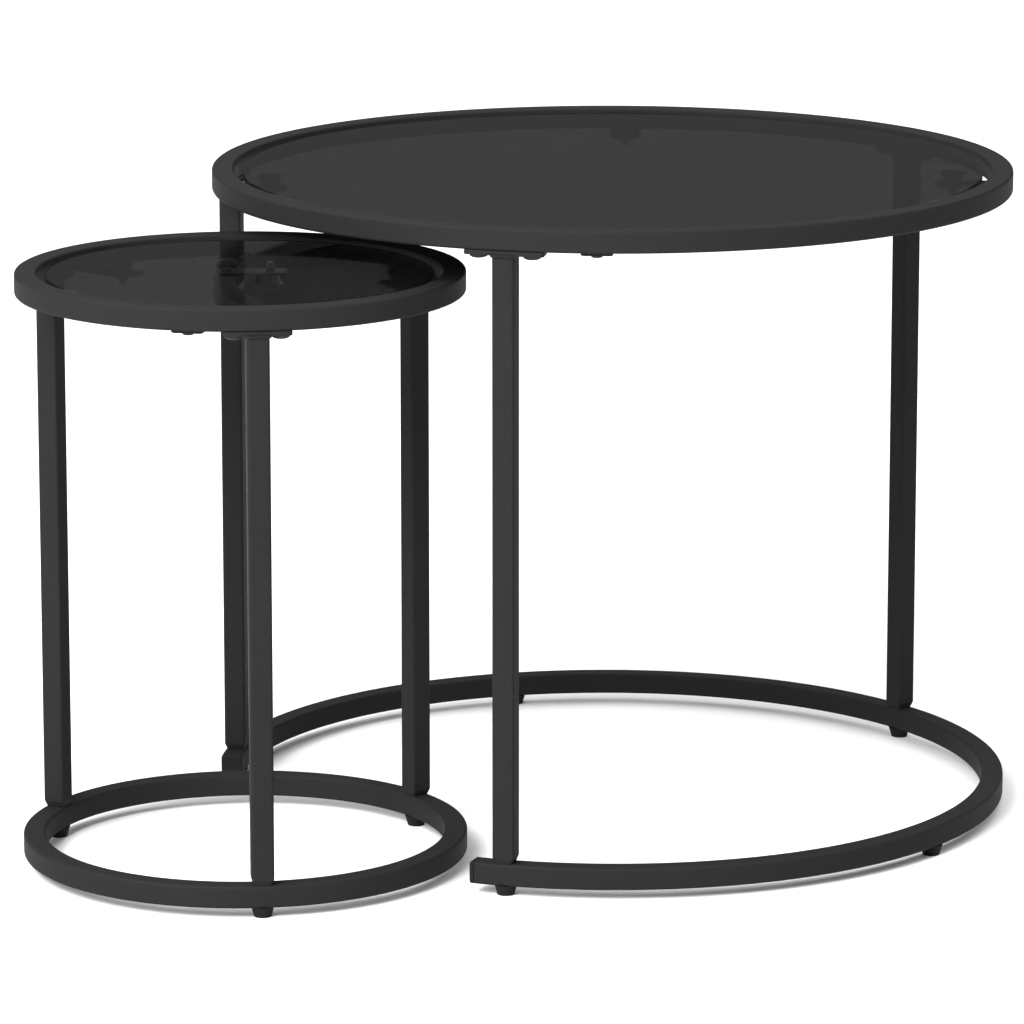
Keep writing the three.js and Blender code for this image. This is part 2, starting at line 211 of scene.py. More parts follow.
class TubeSettings(bpy.types.PropertyGroup):
    """Sizes of the square tube and the plates welded to it."""

    corner: bpy.props.FloatProperty(
        name="Corner", description="Outer corner radius of the tube", default=2.0 * MM, unit="LENGTH")
    wall: bpy.props.FloatProperty(
        name="Wall", description="Wall of the tube", default=1.2 * MM, unit="LENGTH")
    corner_steps: bpy.props.IntProperty(
        name="Corner steps", description="Edges round one corner of the tube", default=6)
    ring_steps: bpy.props.IntProperty(
        name="Ring steps", description="Edges round a full ring", default=288)
    neck_height: bpy.props.FloatProperty(
        name="Neck height", description="Tapered end of a leg", default=4 * MM, unit="LENGTH")
    neck_width: bpy.props.FloatProperty(
        name="Neck width", description="Width where a leg meets the base ring",
        default=12 * MM, unit="LENGTH")
    flange: bpy.props.FloatProperty(
        name="Flange", description="Thickness of the bolt flanges", default=3 * MM, unit="LENGTH")
    flange_end: bpy.props.FloatProperty(
        name="Flange end", description="From a bolt to the end of its flange, less the ends' radius",
        default=8 * MM, unit="LENGTH")
    weld: bpy.props.FloatProperty(
        name="Weld", description="Leg length of the weld under a flange",
        default=1.6 * MM, unit="LENGTH")


class SmallPartSettings(bpy.types.PropertyGroup):
    """Sizes of the fasteners, pads, feet and caps that the frame's boxes don't give."""

    bolt_shank: bpy.props.FloatProperty(
        name="Bolt shank", description="Radius of the bolts' shanks", default=3 * MM, unit="LENGTH")
    bolt_key: bpy.props.FloatProperty(
        name="Bolt key", description="Width of the hexagon socket across its flats",
        default=4 * MM, unit="LENGTH")
    bolt_key_depth: bpy.props.FloatProperty(
        name="Bolt key depth", description="Depth of the hexagon socket",
        default=1.9 * MM, unit="LENGTH")
    screw_shank: bpy.props.FloatProperty(
        name="Screw shank", description="Radius of the tab screws' shanks",
        default=2 * MM, unit="LENGTH")
    screw_head: bpy.props.FloatProperty(
        name="Screw head", description="Height of the pan heads", default=1.6 * MM, unit="LENGTH")
    cross_arm: bpy.props.FloatProperty(
        name="Cross arm", description="Reach of the cross recess from its middle",
        default=2.1 * MM, unit="LENGTH")
    cross_slot: bpy.props.FloatProperty(
        name="Cross slot", description="Half width of the cross recess",
        default=0.42 * MM, unit="LENGTH")
    tab_width: bpy.props.FloatProperty(
        name="Tab width", description="Width of the glass tabs", default=21 * MM, unit="LENGTH")
    tab_corner: bpy.props.FloatProperty(
        name="Tab corner", description="Radius of the tabs' corners", default=2.5 * MM, unit="LENGTH")


class FinishSettings(bpy.types.PropertyGroup):
    """Colours of the finishes."""

    coat: bpy.props.FloatVectorProperty(
        name="Coat", description="Powder coat", subtype="COLOR", size=3,
        default=(0.0145, 0.0145, 0.0149))
    glass: bpy.props.FloatVectorProperty(
        name="Glass", description="Body of the smoked glass", subtype="COLOR", size=3,
        default=(0.004, 0.004, 0.0045))
    plastic: bpy.props.FloatVectorProperty(
        name="Plastic", description="Feet and end caps", subtype="COLOR", size=3,
        default=(0.011, 0.011, 0.0113))
    bolt: bpy.props.FloatVectorProperty(
        name="Bolts", description="Black plated steel", subtype="COLOR", size=3,
        default=(0.02, 0.02, 0.0208))
    rubber: bpy.props.FloatVectorProperty(
        name="Rubber", description="Glass pads", subtype="COLOR", size=3,
        default=(0.03, 0.03, 0.03))


class StageSettings(bpy.types.PropertyGroup):
    """The floor and the camera."""

    camera_place: bpy.props.FloatVectorProperty(
        name="Camera", description="Where the camera stands", subtype="TRANSLATION", size=3,
        default=(3.415, -2.166, 1.097))
    camera_down: bpy.props.FloatProperty(
        name="Tilt", description="How far the camera looks down",
        default=math.radians(12.337), unit="ROTATION")
    camera_turn: bpy.props.FloatProperty(
        name="Turn", description="The camera's heading, from +Y towards -X",
        default=math.radians(57.546), unit="ROTATION")
    lens: bpy.props.FloatProperty(
        name="Lens", description="Focal length in millimetres", default=211.5, unit="CAMERA")
    floor: bpy.props.FloatProperty(
        name="Floor", description="Radius of the floor", default=40.0, unit="LENGTH")
    floor_colour: bpy.props.FloatVectorProperty(
        name="Floor colour", description="Pale floor", subtype="COLOR", size=3,
        default=(0.9, 0.9, 0.9))


class NestingSettings(bpy.types.PropertyGroup):
    """All the settings of the tables."""

    tube: bpy.props.PointerProperty(type=TubeSettings)
    small_parts: bpy.props.PointerProperty(type=SmallPartSettings)
    finishes: bpy.props.PointerProperty(type=FinishSettings)
    stage: bpy.props.PointerProperty(type=StageSettings)


# ---- Node trees


class Value:
    """One output of a node. Arithmetic with it adds Math nodes to its tree."""

    def __init__(self, graph, socket):
        self.graph = graph
        self.socket = socket

    def output(self, name):
        """Another output of the same node."""
        return Value(self.graph, self.graph.find(self.socket.node.outputs, name))

    def __add__(self, other):
        return self.graph.math("ADD", self, other)

    def __sub__(self, other):
        return self.graph.math("SUBTRACT", self, other)

    def __rsub__(self, other):
        return self.graph.math("SUBTRACT", other, self)

    def __mul__(self, other):
        return self.graph.math("MULTIPLY", self, other)

    def __truediv__(self, other):
        return self.graph.math("DIVIDE", self, other)

    def __rtruediv__(self, other):
        return self.graph.math("DIVIDE", other, self)

    __radd__ = __add__
    __rmul__ = __mul__


class Graph:
    """A node tree that is being built."""

    def __init__(self, tree):
        self.tree = tree

    @staticmethod
    def find(sockets, key):
        if isinstance(key, int):
            return sockets[key]
        return next(socket for socket in sockets if socket.name == key and socket.enabled)

    def add(self, kind, settings=None, inputs=None, output=0):
        """Adds a node: its settings come first, then the values or links of its inputs."""
        node = self.tree.nodes.new(kind)
        for key, value in (settings or {}).items():
            if key == "stops":
                set_stops(node.color_ramp, value)
            elif key == "items":
                for _ in range(value - len(node.index_switch_items)):
                    node.index_switch_items.new()
            else:
                setattr(node, key, value)
        for key, value in (inputs or {}).items():
            socket = self.find(node.inputs, key)
            if isinstance(value, Value):
                self.tree.links.new(value.socket, socket)
            else:
                socket.default_value = value
        if not node.outputs:
            return node
        return Value(self, self.find(node.outputs, output))

    def math(self, operation, *values):
        return self.add("ShaderNodeMath", {"operation": operation}, dict(enumerate(values)))

    def mix(self, share, first, second):
        """A mix of two colours."""
        inputs = {"Factor": share, "A": first, "B": second}
        return self.add("ShaderNodeMix", {"data_type": "RGBA"}, inputs, "Result")

    def vector(self, x=0.0, y=0.0, z=0.0):
        return self.add("ShaderNodeCombineXYZ", inputs={"X": x, "Y": y, "Z": z})


def set_stops(ramp, stops):
    """Sets a ramp's stops from (place, grey) pairs."""
    while len(ramp.elements) < len(stops):
        ramp.elements.new(0.5)
    for element, (place, grey) in zip(ramp.elements, stops):
        element.position = place
        element.color = (grey, grey, grey, 1)


class ShapeTree(Graph):
    """A Geometry Nodes tree with named inputs. It ends by realising and giving the finish."""

    def __init__(self, name, lengths=(), counts=()):
        super().__init__(bpy.data.node_groups.new(name, "GeometryNodeTree"))
        face = self.tree.interface
        face.new_socket(name="Geometry", in_out="INPUT", socket_type="NodeSocketGeometry")
        face.new_socket(name="Finish", in_out="INPUT", socket_type="NodeSocketMaterial")
        for labels, kind in ((lengths, "NodeSocketFloat"), (counts, "NodeSocketInt")):
            for label in labels:
                face.new_socket(name=label, in_out="INPUT", socket_type=kind)
        face.new_socket(name="Geometry", in_out="OUTPUT", socket_type="NodeSocketGeometry")
        self.ids = {item.name: item.identifier for item in face.items_tree if item.in_out == "INPUT"}
        self.start = self.add("NodeGroupInput")
        self.lengths = lengths

    def given(self, label):
        return self.start.output(label)

    def given_lengths(self):
        return [self.given(label) for label in self.lengths]

    def finish(self, geometry):
        real = self.add("GeometryNodeRealizeInstances", inputs={"Geometry": geometry})
        coated = self.add("GeometryNodeSetMaterial", inputs={
            "Geometry": real, "Material": self.given("Finish")})
        self.add("NodeGroupOutput", inputs={"Geometry": coated})
        return self

    def turned(self, profile, steps, outline=None):
        """A closed surface turned about Z through a profile's points, each a radius, a height and
        a share. Where the share is 1 the radius follows the outline, a function of the angle."""
        rows = len(profile)
        grid = self.add("GeometryNodeMeshGrid", inputs={"Vertices X": steps + 1, "Vertices Y": rows})
        index = self.add("GeometryNodeInputIndex")
        column = self.math("FLOOR", (index + 0.5) / rows)
        row = index - column * rows
        angle = column * (TURN / steps)
        points = {str(number): self.vector(*point) for number, point in enumerate(profile)}
        choice = {"data_type": "VECTOR", "items": rows}
        chosen = self.add("GeometryNodeIndexSwitch", choice, {"Index": row, **points})
        parts = self.add("ShaderNodeSeparateXYZ", inputs={"Vector": chosen})
        radius = parts.output("X")
        if outline:
            radius = radius * (1 + parts.output("Z") * (outline(angle) - 1))
        place = self.vector(
            radius * self.math("COSINE", angle), radius * self.math("SINE", angle), parts.output("Y"))
        shaped = self.add("GeometryNodeSetPosition", inputs={"Geometry": grid, "Position": place})
        return self.add("GeometryNodeMergeByDistance", inputs={"Geometry": shaped, "Distance": MERGE})

    def copied(self, piece):
        """A copy of a piece on each vertex of the start, turned about Z by its turn attribute."""
        turn = self.add("GeometryNodeInputNamedAttribute", {"data_type": "FLOAT"}, {"Name": "turn"})
        return self.add("GeometryNodeInstanceOnPoints", inputs={
            "Points": self.given("Geometry"), "Instance": piece, "Rotation": self.vector(z=turn)})


# ---- Pieces and meshes


def settings():
    return bpy.context.scene.nesting_tables


def new_piece(name, mesh):
    piece = bpy.data.objects.new(name, mesh)
    bpy.context.scene.collection.objects.link(piece)
    return piece


def tidied(mesh):
    """Merges a mesh's doubles, turns its faces outwards and smooths all but its sharp edges."""
    shape = bmesh.new()
    shape.from_mesh(mesh)
    bmesh.ops.remove_doubles(shape, verts=shape.verts, dist=MERGE)
    bmesh.ops.recalc_face_normals(shape, faces=shape.faces)
    shape.to_mesh(mesh)
    shape.free()
    mesh.polygons.foreach_set("use_smooth", [True] * len(mesh.polygons))
    mesh.set_sharp_from_angle(angle=SHARP)
    return mesh


def finished(piece, body, replaced):
    """Keeps a piece's flats flat up to their rounded edges, rides it and stands it for its nodes."""
    flats = piece.modifiers.new("Flats", "WEIGHTED_NORMAL")
    flats.keep_sharp = True
    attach(piece, body)
    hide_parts(*replaced)
    return piece


def grown(name, tree, start, sizes, finish):
    """The piece that a tree grows from a start mesh, as a plain mesh."""
    piece = new_piece(name, start)
    modifier = piece.modifiers.new("Shape", "NODES")
    modifier.node_group = tree.tree
    modifier[tree.ids["Finish"]] = finish
    for label, value in sizes.items():
        modifier[tree.ids[label]] = value
    graph = bpy.context.evaluated_depsgraph_get()
    mesh = bpy.data.meshes.new_from_object(piece.evaluated_get(graph), depsgraph=graph)
    piece.modifiers.remove(modifier)
    piece.data = mesh
    mesh.name = name
    tidied(mesh)
    return piece


def meshed(name, shape, slot):
    """A mesh of a shape's faces with its slot's finish."""
    mesh = bpy.data.meshes.new(name)
    shape.to_mesh(mesh)
    shape.free()
    mesh.materials.append(finish_for(slot))
    return mesh


def grow(places, part, tree, start, sizes, slot, nodes):
    """Grows a piece of a table and finishes it for its nodes."""
    piece = grown(f"{places.body}_{part}", tree, start, sizes, finish_for(slot))
    finished(piece, places.body, nodes)


def points_mesh(places, turns):
    """A mesh of single vertices, each with the angle that its copy is turned by."""
    mesh = bpy.data.meshes.new("places")
    mesh.from_pydata(places, [], [])
    turn = mesh.attributes.new("turn", "FLOAT", "POINT")
    turn.data.foreach_set("value", turns)
    return mesh


def rounded(width, length, corner, steps):
    """Points round a rectangle with round corners, anticlockwise."""
    points = []
    for quarter, (sign_x, sign_y) in enumerate(((1, 1), (-1, 1), (-1, -1), (1, -1))):
        middle_x = sign_x * (width / 2 - corner)
        middle_y = sign_y * (length / 2 - corner)
        for step in range(steps + 1):
            angle = (quarter + step / steps) * TURN / 4
            points.append((middle_x + corner * math.cos(angle), middle_y + corner * math.sin(angle)))
    return points


def circle(radius, steps):
    angles = [TURN * step / steps for step in range(steps)]
    return [(radius * math.cos(angle), radius * math.sin(angle)) for angle in angles]


def add_loft(shape, sections, move=Matrix.Identity(4)):
    """Adds a closed skin over sections, each an outline and its height, from the lowest up."""
    rows = [[shape.verts.new(move @ Vector((x, y, height))) for x, y in outline]
            for outline, height in sections]
    for lower, upper in zip(rows, rows[1:]):
        for i in range(len(lower)):
            after = (i + 1) % len(lower)
            shape.faces.new((lower[i], lower[after], upper[after], upper[i]))
    shape.faces.new(reversed(rows[0]))
    shape.faces.new(rows[-1])


def add_bead(shape, outline, width, move):
    """Adds a weld bead under a plate, round an outline: it bulges between the wall and the plate."""
    rings = []
    count = len(outline)
    for i in range(count):
        x, y = outline[i]
        before, after = Vector(outline[i - 1]), Vector(outline[(i + 1) % count])
        along = (after - before).normalized()
        out = Vector((along.y, -along.x))
        swell = width * (1 + BEAD_RIPPLE * math.sin(TURN * BEAD_RIPPLES * i / count))
        ring = []
        for side, drop in BEAD_SECTION:
            place = Vector((x, y)) + out * side * swell
            ring.append(shape.verts.new(move @ Vector((place.x, place.y, -drop * swell))))
        rings.append(ring)
    for i in range(count):
        here, after = rings[i - 1], rings[i]
        for j in range(len(here)):
            k = (j + 1) % len(here)
            shape.faces.new((here[j], after[j], after[k], here[k]))


# ---- Finishes


def surface(name):
    """A new material, its graph and its Principled node."""
    material = bpy.data.materials.new(name)
    material.use_nodes = True
    graph = Graph(material.node_tree)
    shader = material.node_tree.nodes["Principled BSDF"]
    return material, graph, shader


def feed(graph, shader, **values):
    """Sets or links the Principled node's sockets."""
    for label, value in values.items():
        socket = shader.inputs[label.replace("_", " ")]
        if isinstance(value, Value):
            graph.tree.links.new(value.socket, socket)
        else:
            socket.default_value = value


def object_noise(graph, size, detail=2.0, roughness=0.5):
    """Noise over the piece, from 0 to 1, whose lumps are about the given size across."""
    place = graph.add("ShaderNodeTexCoord", output="Object")
    return graph.add("ShaderNodeTexNoise", inputs={
        "Vector": place, "Scale": 1 / size, "Detail": detail, "Roughness": roughness})


def bumped(graph, height, strength, distance):
    return graph.add("ShaderNodeBump", inputs={
        "Strength": strength, "Distance": distance, "Height": height})


def scaled(colour, share):
    return (*(channel * share for channel in colour), 1)


def powder_coat():
    """Matt black powder coat: fine orange peel, slightly cloudy, faint dust on what faces up."""
    colour = settings().finishes.coat
    material, graph, shader = surface("powder_coat")
    peel = object_noise(graph, 0.9 * MM, 1.0)
    grain = object_noise(graph, 0.22 * MM, 1.0)
    cloud = object_noise(graph, 60 * MM, 3.0)
    normal = graph.add("ShaderNodeNewGeometry", output="Normal")
    up = graph.add("ShaderNodeSeparateXYZ", inputs={"Vector": normal}).output("Z")
    dust = graph.add("ShaderNodeMapRange", inputs={
        "Value": up * (0.5 + cloud * 0.5), "From Min": 0.35, "From Max": 1.0}, output="Result")
    tone = graph.mix(cloud * 0.6 + grain * 0.4, scaled(colour, 0.82), scaled(colour, 1.18))
    dusted = graph.mix(dust * 0.2, tone, scaled(colour, 1.4))
    relief = peel * 0.75 + grain * 0.25
    feed(graph, shader, Base_Color=dusted, Specular_IOR_Level=0.05,
         Roughness=0.56 + cloud * 0.1 + grain * 0.06, Normal=bumped(graph, relief, 0.35, 0.05 * MM))
    return material


def smoked_glass():
    """Smoked glass that lets a little light through, less at a low angle. It is polished above and
    has a dull film underneath."""
    colour = settings().finishes.glass
    material, graph, shader = surface("smoked_glass")
    smear = object_noise(graph, 45 * MM, 4.0, 0.62)
    facing = graph.add("ShaderNodeLayerWeight", inputs={"Blend": 0.5}, output="Facing")
    density = GLASS_DENSITY + facing * GLASS_LOW_DENSITY
    feed(graph, shader, Base_Color=scaled(colour, 1), Roughness=0.012 + smear * 0.02, Alpha=density)
    film = graph.add("ShaderNodeBsdfPrincipled", inputs={
        "Base Color": scaled(colour, 1), "Roughness": 0.8, "Specular IOR Level": 0.0,
        "Alpha": density})
    normal = graph.add("ShaderNodeNewGeometry", output="Normal")
    up = graph.add("ShaderNodeSeparateXYZ", inputs={"Vector": normal}).output("Z")
    outwards = up * (1 - 2 * normal.output("Backfacing"))
    under = graph.math("LESS_THAN", outwards, UNDERSIDE)
    both = graph.add("ShaderNodeMixShader", inputs={
        0: under, 1: Value(graph, shader.outputs["BSDF"]), 2: film})
    graph.tree.links.new(both.socket, material.node_tree.nodes["Material Output"].inputs["Surface"])
    return material


def moulded_plastic():
    """Black moulded plastic with a fine spark-eroded grain."""
    colour = settings().finishes.plastic
    material, graph, shader = surface("moulded_plastic")
    grain = object_noise(graph, 0.35 * MM, 2.0)
    cloud = object_noise(graph, 9 * MM, 2.0)
    feed(graph, shader, Base_Color=graph.mix(cloud, scaled(colour, 0.8), scaled(colour, 1.25)),
         Specular_IOR_Level=0.05, Roughness=0.5 + grain * 0.2,
         Normal=bumped(graph, grain, 0.3, 0.04 * MM))
    return material


def plated_steel():
    """Black plated steel, half glossy, lightly mottled."""
    colour = settings().finishes.bolt
    material, graph, shader = surface("plated_steel")
    mottle = object_noise(graph, 1.6 * MM, 3.0)
    feed(graph, shader, Base_Color=graph.mix(mottle, scaled(colour, 0.7), scaled(colour, 1.35)),
         Specular_IOR_Level=0.1, Metallic=0.2, Roughness=0.46 + mottle * 0.18,
         Normal=bumped(graph, mottle, 0.15, 0.02 * MM))
    return material


def pad_rubber():
    """Soft grey rubber, faintly cloudy, with a satin skin."""
    colour = settings().finishes.rubber
    material, graph, shader = surface("pad_rubber")
    cloud = object_noise(graph, 4 * MM, 3.0)
    feed(graph, shader, Base_Color=graph.mix(cloud, scaled(colour, 0.85), scaled(colour, 1.15)),
         Specular_IOR_Level=0.2, Roughness=0.42 + cloud * 0.15,
         Normal=bumped(graph, cloud, 0.12, 0.05 * MM))
    return material


def floor_paint():
    """Pale seamless floor with the faintest unevenness."""
    colour = settings().stage.floor_colour
    material, graph, shader = surface("floor_paint")
    cloud = object_noise(graph, 0.8, 2.0)
    feed(graph, shader, Base_Color=graph.mix(cloud, scaled(colour, 0.985), scaled(colour, 1.0)),
         Roughness=0.9)
    return material


FINISHES = {
    "frame_coat": powder_coat,
    "smoked_glass": smoked_glass,
    "glide_plastic": moulded_plastic,
    "bolt_black": plated_steel,
    "pad_rubber": pad_rubber,
    "floor": floor_paint,
}


def finish_for(slot):
    """The material for a slot. It is made the first time, and the settings keep its name."""
    key = f"made_{slot}"
    name = settings().get(key)
    if name is None:
        name = settings()[key] = FINISHES[slot]().name
    return bpy.data.materials[name]


# ---- Rings


def ring_tree():
    """Square tube with round corners, rolled round an arc."""
    tree = ShapeTree("rolled_tube", [
        "Centre X", "Centre Y", "Centre Z", "Middle Radius", "Tube", "Corner", "Start", "Sweep",
    ], ["Ring Steps", "Corner Steps", "Closed"])
    arc = tree.add("GeometryNodeCurveArc", {"mode": "RADIUS"}, {
        "Resolution": tree.given("Ring Steps"), "Radius": tree.given("Middle Radius"),
        "Start Angle": tree.given("Start"), "Sweep Angle": tree.given("Sweep")})
    square = tree.add("GeometryNodeCurvePrimitiveQuadrilateral", {"mode": "RECTANGLE"}, {
        "Width": tree.given("Tube"), "Height": tree.given("Tube")})
    loop = tree.add("GeometryNodeSetSplineCyclic", inputs={
        "Geometry": arc, "Cyclic": tree.given("Closed")})
    section = tree.add("GeometryNodeFilletCurve", {"mode": "POLY"}, {
        "Curve": square, "Count": tree.given("Corner Steps"), "Radius": tree.given("Corner")})
    skin = tree.add("GeometryNodeCurveToMesh", inputs={"Curve": loop, "Profile Curve": section})
    middle = tree.vector(*(tree.given(f"Centre {axis}") for axis in "XYZ"))
    placed = tree.add("GeometryNodeTransform", inputs={"Geometry": skin, "Translation": middle})
    closed = tree.add("GeometryNodeMergeByDistance", inputs={"Geometry": placed, "Distance": MERGE})
    return tree.finish(closed)


def rolled_ring(name, tree, places, bottom, start=0.0, sweep=None):
    """A ring from its start angle through its sweep, or a full ring, whose last step closes it."""
    tube = settings().tube
    closed = sweep is None
    if closed:
        sweep = TURN * (1 - 1 / tube.ring_steps)
    steps = round(tube.ring_steps * sweep / TURN)
    sizes = {
        "Centre X": places.centre.x, "Centre Y": places.centre.y,
        "Centre Z": bottom + places.tube / 2,
        "Middle Radius": places.middle, "Tube": places.tube, "Corner": tube.corner,
        "Start": start, "Sweep": sweep,
        "Ring Steps": steps + 1, "Corner Steps": tube.corner_steps, "Closed": int(closed),
    }
    return grown(name, tree, bpy.data.meshes.new("start"), sizes, finish_for("frame_coat"))


class NESTING_OT_rings(bpy.types.Operator):
    """Rolls the top and base rings of both tables"""

    bl_idname = "nesting_tables.rings"
    bl_label = "Rings"

    def execute(self, context):
        tree = ring_tree()
        for places in map(Places, TABLES):
            top = rolled_ring(f"{places.body}_top_ring", tree, places, places.ring_bottom)
            finished(top, places.body, places.nodes("top_ring"))
            base = self.base_ring(tree, places)
            finished(base, places.body, places.nodes("base_ring"))
        return {"FINISHED"}

    @staticmethod
    def base_ring(tree, places):
        """The base ring. Where its mouth shows the cut ends, the tube has a wall."""
        name = f"{places.body}_base_ring"
        mouth = places.mouth()
        if mouth is None:
            return rolled_ring(name, tree, places, places.base_bottom)
        middle, half = mouth
        ring = rolled_ring(name, tree, places, places.base_bottom, middle + half, TURN - 2 * half)
        wall = ring.modifiers.new("Wall", "SOLIDIFY")
        wall.thickness = settings().tube.wall
        wall.offset = -1
        wall.use_even_offset = True
        graph = bpy.context.evaluated_depsgraph_get()
        ring.data = bpy.data.meshes.new_from_object(ring.evaluated_get(graph), depsgraph=graph)
        ring.modifiers.remove(wall)
        ring.data.set_sharp_from_angle(angle=SHARP)
        return ring


# ---- Legs


def add_flange(shape, places, half_length, thickness, move):
    """Adds the bolt flange: a plate with round corners that follows the ring."""
    straight = rounded(places.tube, 2 * half_length, FLANGE_CORNER, CORNER_STEPS)
    curved = []
    for radial, along in divided(straight, FLANGE_STEP):
        reach = places.middle + radial
        angle = along / places.middle
        curved.append((reach * math.cos(angle) - places.middle, reach * math.sin(angle)))
    eased = [(x * (1 - EASE / places.tube), y * (1 - EASE / (2 * half_length))) for x, y in curved]
    add_loft(shape, [
        (eased, -thickness), (curved, EASE - thickness), (curved, -EASE), (eased, 0)], move)


def divided(outline, step):
    """The outline with its long edges cut into steps."""
    points = []
    for here, after in zip(outline, outline[1:] + outline[:1]):
        count = max(1, round(math.dist(here, after) / step))
        for i in range(count):
            share = i / count
            points.append(tuple(a + (b - a) * share for a, b in zip(here, after)))
    return points


def tube_outline(width):
    """The outline of a square tube of a width."""
    tube = settings().tube
    return rounded(width, width, tube.corner, tube.corner_steps)


def leg_mesh(name, places, angle, half_flange):
    """One leg, in place: tube, tapered neck, bolt flange and the weld between them."""
    tube = settings().tube
    shape = bmesh.new()
    at = places.out_at(angle, places.middle)
    section = tube_outline(places.tube)
    neck = tube_outline(tube.neck_width)
    shoulder = tube_outline(places.tube - NECK_EASE)
    plate_bottom = places.ring_bottom - tube.flange
    add_loft(shape, [
        (neck, places.base_top),
        (shoulder, places.base_top + tube.neck_height - NECK_EASE),
        (section, places.base_top + tube.neck_height + NECK_EASE),
        (section, plate_bottom + tube.flange / 2),
    ], at)
    under_ring = at @ Matrix.Translation((0, 0, places.ring_bottom))
    add_flange(shape, places, half_flange, tube.flange, under_ring)
    under_plate = at @ Matrix.Translation((0, 0, plate_bottom))
    add_bead(shape, divided(section, BEAD_STEP), tube.weld, under_plate)
    return tidied(meshed(name, shape, "frame_coat"))


class NESTING_OT_legs(bpy.types.Operator):
    """Makes the legs with their bolt flanges"""

    bl_idname = "nesting_tables.legs"
    bl_label = "Legs"

    def execute(self, context):
        for places in map(Places, TABLES):
            for node, angle in places.legs():
                side = node.rsplit("_", 1)[1]
                name = f"{places.body}_leg_{side}"
                mesh = leg_mesh(name, places, angle, self.half_flange(node))
                finished(new_piece(name, mesh), places.body, [node])
        return {"FINISHED"}

    @staticmethod
    def half_flange(node):
        """Half the length of a leg's flange along the ring, from its farthest corner."""
        mesh = frame["nodes"][node].data
        foot = middle_of(node.replace("_leg_", "_foot_"))
        return max((point.co.xy - foot.xy).length for point in mesh.vertices) * FLANGE_SHARE


# ---- Fasteners


def hexagon(tree):
    """The outline of a hexagon of unit apothem, as a function of the angle."""
    def outline(angle):
        inside = tree.math("MODULO", angle, TURN / 6) - TURN / 12
        return 1 / tree.math("COSINE", inside)
    return outline


def cross(tree, reach):
    """The outline of a cross recess of unit slot half width, whose arms have the given reach."""
    def outline(angle):
        inside = tree.math("MODULO", angle + TURN / 8, TURN / 4) - TURN / 8
        slope = tree.math("MAXIMUM", tree.math("ABSOLUTE", tree.math("SINE", inside)), LEAST_SLOPE)
        return tree.math("MINIMUM", reach, 1 / slope)
    return outline


def shank_profile(radius, length, chamfer):
    """The profile of a shank from its seat up, with its end chamfered."""
    return [(radius, 0, 0), (radius, length - chamfer, 0),
            (radius - chamfer, length, 0), (0, length, 0)]


def bolt_tree():
    """Button head bolts with hexagon sockets, hung head down from their seats."""
    tree = ShapeTree("button_bolts", [
        "Head Radius", "Head Height", "Shank Radius", "Shank Length", "Key", "Key Depth"])
    head, height, shank, length, key, depth = tree.given_lengths()
    dome = []
    for step in range(DOME_STEPS + 1):
        share = DOME_START + (1 - DOME_START) * step / DOME_STEPS
        dome.append((head * share, height * -math.sqrt(max(0, 1 - share ** DOME_POWER)), 0))
    top = dome[0][1]
    floor = top + depth
    profile = [(0, floor + depth * 0.25, 1), (key * 0.5, floor, 1),
               (key * 0.5, top + SOCKET_LEAD, 1), (key * 0.54, top, 1),
               *dome[:-1], (head, 0, 0), *shank_profile(shank, length, BOLT_CHAMFER)]
    return tree.finish(tree.copied(tree.turned(profile, BOLT_SIDES, hexagon(tree))))


def screw_tree():
    """Pan head screws with a cross recess, hung head down from their seats."""
    tree = ShapeTree("tab_screws", [
        "Head Radius", "Head Height", "Shank Radius", "Shank Length", "Arm", "Slot"])
    head, height, shank, length, arm, slot = tree.given_lengths()
    reach = arm / slot
    low = 0 - height
    profile = [(0, low + height * 0.72, 1), (slot * 0.55, low + height * 0.62, 1), (slot, low, 1)]
    profile += [(head * across, low * down, 0) for across, down in SCREW_CROWN]
    profile += [(head, 0, 0), *shank_profile(shank, length, SCREW_CHAMFER)]
    return tree.finish(tree.copied(tree.turned(profile, SCREW_SIDES, cross(tree, reach))))


def seats(places, part, height):
    """The places and turns of a table's like pieces, from their nodes' boxes."""
    nodes = places.nodes(part)
    spots = [(*middle_of(node).xy, height) for node in nodes]
    return points_mesh(spots, [places.angle_to(node) for node in nodes]), nodes


def half_width(node):
    """Half the width of a turned node."""
    low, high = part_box(node)
    return (high.x - low.x) / 2


class NESTING_OT_leg_bolts(bpy.types.Operator):
    """Puts two bolts through each leg's flange"""

    bl_idname = "nesting_tables.leg_bolts"
    bl_label = "Leg bolts"

    def execute(self, context):
        tree = bolt_tree()
        sizes = settings().small_parts
        for places in map(Places, TABLES):
            seat = places.ring_bottom - settings().tube.flange
            start, nodes = seats(places, "leg_bolt_", seat)
            low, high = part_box(nodes[0])
            grow(places, "leg_bolts", tree, start, {
                "Head Radius": half_width(nodes[0]), "Head Height": seat - low.z,
                "Shank Radius": sizes.bolt_shank, "Shank Length": high.z - seat,
                "Key": sizes.bolt_key, "Key Depth": sizes.bolt_key_depth,
            }, "bolt_black", nodes)
        return {"FINISHED"}


